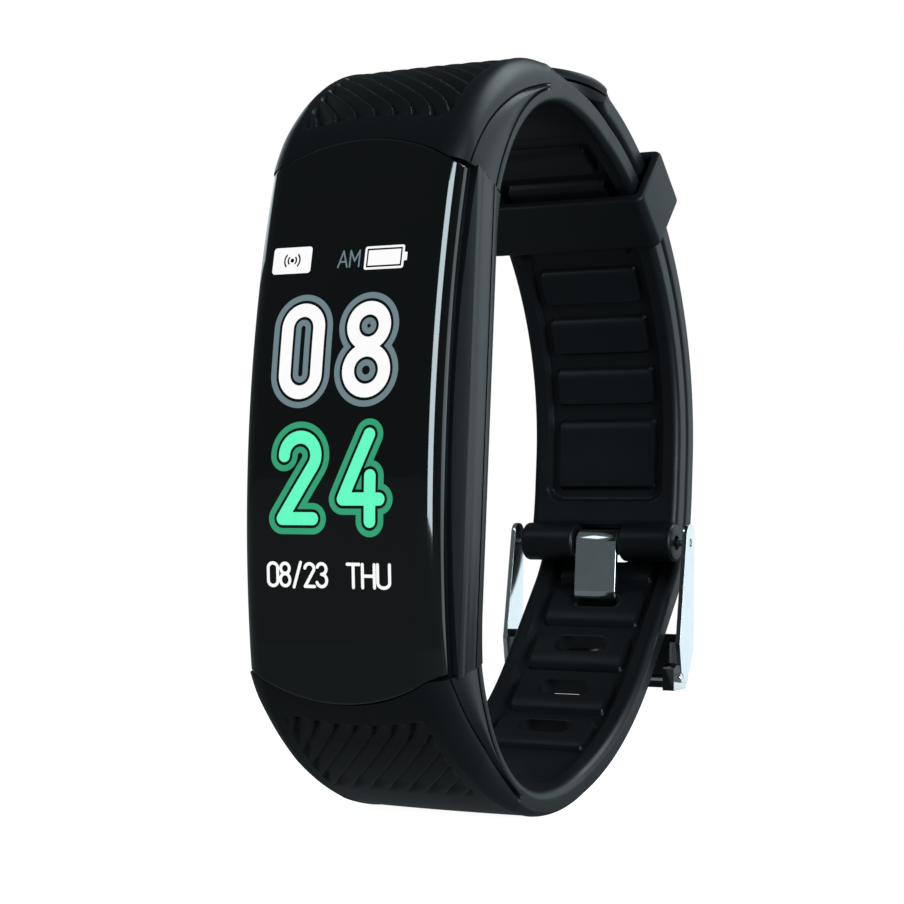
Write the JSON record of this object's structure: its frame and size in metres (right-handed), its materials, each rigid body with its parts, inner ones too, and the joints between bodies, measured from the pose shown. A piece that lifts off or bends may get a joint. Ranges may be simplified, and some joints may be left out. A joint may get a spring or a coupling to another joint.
{
  "type": "fitness tracker band",
  "caption": "Wrist-worn fitness tracker with a curved touch display, fastened rubber strap, pin buckle, keeper loop and heart-rate sensor on its back.",
  "frame": {"origin": "middle of the wrist opening, midway across the strap", "axes": "+X across the strap to the wearer's right as they read the display, -Y out of the display, +Z to the display's upper end"},
  "size_m": [0.0208, 0.0624, 0.0728],
  "materials": {
    "lens_black": "polished",
    "case_black": "satin",
    "strap_rubber": "satin",
    "cover_black": "satin",
    "buckle_chrome": "polished",
    "bar_steel": "turned",
    "screw_steel": "machined",
    "sensor_glass": "polished",
    "gold_contact": "gold plated",
    "magnet_nickel": "nickel plated",
    "gasket_foam": "matt",
    "lcd_glass": "polished",
    "backlight_white": "satin",
    "polyimide": "satin",
    "battery_foil": "foil",
    "board_green": "solder mask",
    "chip_black": "moulded",
    "motor_steel": "pressed",
    "rotor_weight": "sintered",
    "led_epoxy": "clear"
  },
  "bodies": {
    "band": {"display_lens": "lens_black", "lens_gasket": "gasket_foam", "lcd_panel": "lcd_glass", "lcd_backlight": "backlight_white", "touch_pad": "polyimide", "display_flex": "polyimide", "case_body": "case_black", "back_cover": "cover_black", "back_gasket": "gasket_foam", "back_cover_screws": "screw_steel", "sensor_window": "sensor_glass", "charge_contacts": "gold_contact", "charge_magnets": "magnet_nickel", "battery_foam": "gasket_foam", "battery": "battery_foil", "main_board": "board_green", "board_chips": "chip_black", "chip_antenna": "backlight_white", "vibration_motor_can": "motor_steel", "motor_shaft": "motor_steel", "sensor_leds": "led_epoxy", "photodiode": "chip_black", "sensor_light_barrier": "gasket_foam", "strap_upper": "strap_rubber", "strap_lower": "strap_rubber", "upper_strap_pin": "bar_steel", "lower_strap_pin": "bar_steel", "buckle_bar_tube": "bar_steel", "buckle_bar_spring": "bar_steel"},
    "keeper_loop": {"keeper_loop": "strap_rubber"},
    "buckle_frame": {"buckle_frame": "buckle_chrome", "buckle_cross_pin": "buckle_chrome"},
    "buckle_tang": {"buckle_tang": "buckle_chrome"},
    "bar_tip_left": {"buckle_bar_tip_left": "bar_steel"},
    "bar_tip_right": {"buckle_bar_tip_right": "bar_steel"},
    "motor_rotor": {"motor_rotor": "rotor_weight"}
  },
  "joints": [
    {"name": "keeper_slide", "type": "hinge", "parent": "band", "child": "keeper_loop", "pos_m": [0, -0.007, 0.0017], "axis": [1, 0, 0], "range_deg": [-32, 12]},
    {"name": "buckle_frame_pivot", "type": "hinge", "parent": "band", "child": "buckle_frame", "pos_m": [0, 0.02357, -0.00742], "axis": [1, 0, 0], "range_deg": [-2, 1.5]},
    {"name": "buckle_tang_pivot", "type": "hinge", "parent": "buckle_frame", "child": "buckle_tang", "pos_m": [0, 0.02357, -0.00742], "axis": [1, 0, 0], "range_deg": [0, 1.2]},
    {"name": "bar_tip_left_slide", "type": "slide", "parent": "band", "child": "bar_tip_left", "axis": [1, 0, 0], "range_m": [0, 0.0008], "stiffness_N_per_m": 150, "springref_m": -0.001},
    {"name": "bar_tip_right_slide", "type": "slide", "parent": "band", "child": "bar_tip_right", "axis": [-1, 0, 0], "range_m": [0, 0.0008], "stiffness_N_per_m": 150, "springref_m": -0.001, "deforming": ["buckle_bar_spring"]},
    {"name": "motor_rotor_spin", "type": "hinge", "parent": "band", "child": "motor_rotor", "pos_m": [0.0036, -0.0272, -0.0134], "axis": [0, 1, 0], "continuous": true}
  ]
}
